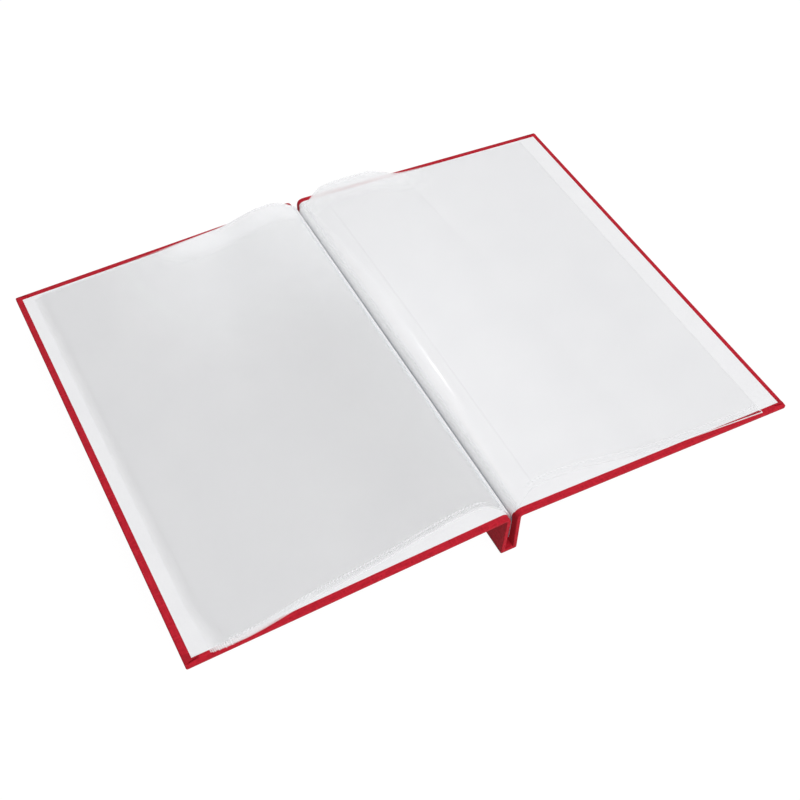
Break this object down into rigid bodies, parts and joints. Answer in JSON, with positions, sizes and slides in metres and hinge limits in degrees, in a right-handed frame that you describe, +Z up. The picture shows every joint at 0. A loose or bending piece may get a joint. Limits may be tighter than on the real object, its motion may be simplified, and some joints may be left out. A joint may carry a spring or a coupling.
{
  "type": "certificate folder",
  "caption": "Hard-cover certificate folder in red cloth, open on its album spine, with clear film pockets bound between two hinge strips and lying on the white-lined covers.",
  "frame": {"origin": "middle of the spine's underside, where the open folder stands", "axes": "+X to the back cover, +Y to the head of the folder, +Z up"},
  "size_m": [0.4228, 0.315, 0.0405],
  "materials": {
    "cloth": "fine linen weave, matt",
    "board": "bare grey board",
    "paper": "smooth white endpaper",
    "film": "clear, slightly hazy film"
  },
  "bodies": {
    "binding": {"spine_board": "board", "spine_cloth": "cloth", "front_hinge_board": "board", "front_hinge_cloth": "cloth", "front_hinge_lining": "paper", "back_hinge_board": "board", "back_hinge_cloth": "cloth", "back_hinge_lining": "paper", "bound_margins": "film"},
    "front_cover": {"front_cover_board": "board", "front_cover_cloth": "cloth", "front_endpaper": "paper"},
    "pocket_01": {"pocket_01_lower_film": "film", "pocket_01_upper_film": "film"},
    "pocket_02": {"pocket_02_lower_film": "film", "pocket_02_upper_film": "film"},
    "pocket_03": {"pocket_03_lower_film": "film", "pocket_03_upper_film": "film"},
    "pocket_04": {"pocket_04_lower_film": "film", "pocket_04_upper_film": "film"},
    "pocket_05": {"pocket_05_lower_film": "film", "pocket_05_upper_film": "film"},
    "pocket_06": {"pocket_06_lower_film": "film", "pocket_06_upper_film": "film"},
    "pocket_07": {"pocket_07_lower_film": "film", "pocket_07_upper_film": "film"},
    "pocket_08": {"pocket_08_lower_film": "film", "pocket_08_upper_film": "film"},
    "pocket_09": {"pocket_09_lower_film": "film", "pocket_09_upper_film": "film"},
    "pocket_10": {"pocket_10_lower_film": "film", "pocket_10_upper_film": "film"},
    "back_cover": {"back_cover_board": "board", "back_cover_cloth": "cloth", "back_endpaper": "paper"},
    "pocket_12": {"pocket_12_lower_film": "film", "pocket_12_upper_film": "film"},
    "pocket_11": {"pocket_11_lower_film": "film", "pocket_11_upper_film": "film"}
  },
  "joints": [
    {"name": "front_cover_fold", "type": "hinge", "parent": "binding", "child": "front_cover", "pos_m": [-0.00492, 0, 0.0345], "axis": [0, 1, 0], "range_deg": [-80, 92.4]},
    {"name": "pocket_01_turn", "type": "hinge", "parent": "front_cover", "child": "pocket_01", "pos_m": [-0.0055, 0, 0.0408], "axis": [0, -1, 0], "range_deg": [-4, 0]},
    {"name": "pocket_02_turn", "type": "hinge", "parent": "pocket_01", "child": "pocket_02", "pos_m": [-0.0055, 0, 0.0408], "axis": [0, -1, 0], "range_deg": [-4, 0]},
    {"name": "pocket_03_turn", "type": "hinge", "parent": "pocket_02", "child": "pocket_03", "pos_m": [-0.0055, 0, 0.0408], "axis": [0, -1, 0], "range_deg": [-4, 0]},
    {"name": "pocket_04_turn", "type": "hinge", "parent": "pocket_03", "child": "pocket_04", "pos_m": [-0.0055, 0, 0.0408], "axis": [0, -1, 0], "range_deg": [-4, 0]},
    {"name": "pocket_05_turn", "type": "hinge", "parent": "pocket_04", "child": "pocket_05", "pos_m": [-0.0055, 0, 0.0408], "axis": [0, -1, 0], "range_deg": [-4, 0]},
    {"name": "pocket_06_turn", "type": "hinge", "parent": "pocket_05", "child": "pocket_06", "pos_m": [-0.0055, 0, 0.0408], "axis": [0, -1, 0], "range_deg": [-4, 0]},
    {"name": "pocket_07_turn", "type": "hinge", "parent": "pocket_06", "child": "pocket_07", "pos_m": [-0.0055, 0, 0.0408], "axis": [0, -1, 0], "range_deg": [-4, 0]},
    {"name": "pocket_08_turn", "type": "hinge", "parent": "pocket_07", "child": "pocket_08", "pos_m": [-0.0055, 0, 0.0408], "axis": [0, -1, 0], "range_deg": [-4, 0]},
    {"name": "pocket_09_turn", "type": "hinge", "parent": "pocket_08", "child": "pocket_09", "pos_m": [-0.0055, 0, 0.0408], "axis": [0, -1, 0], "range_deg": [-4, 0]},
    {"name": "pocket_10_turn", "type": "hinge", "parent": "pocket_09", "child": "pocket_10", "pos_m": [-0.0055, 0, 0.0408], "axis": [0, -1, 0], "range_deg": [-140, 0]},
    {"name": "back_cover_fold", "type": "hinge", "parent": "binding", "child": "back_cover", "pos_m": [0.00492, 0, 0.0345], "axis": [0, -1, 0], "range_deg": [-80, 92.4]},
    {"name": "pocket_12_turn", "type": "hinge", "parent": "back_cover", "child": "pocket_12", "pos_m": [0.0055, 0, 0.0408], "axis": [0, 1, 0], "range_deg": [-4, 0]},
    {"name": "pocket_11_turn", "type": "hinge", "parent": "pocket_12", "child": "pocket_11", "pos_m": [0.0055, 0, 0.0408], "axis": [0, 1, 0], "range_deg": [-115, 0]}
  ]
}
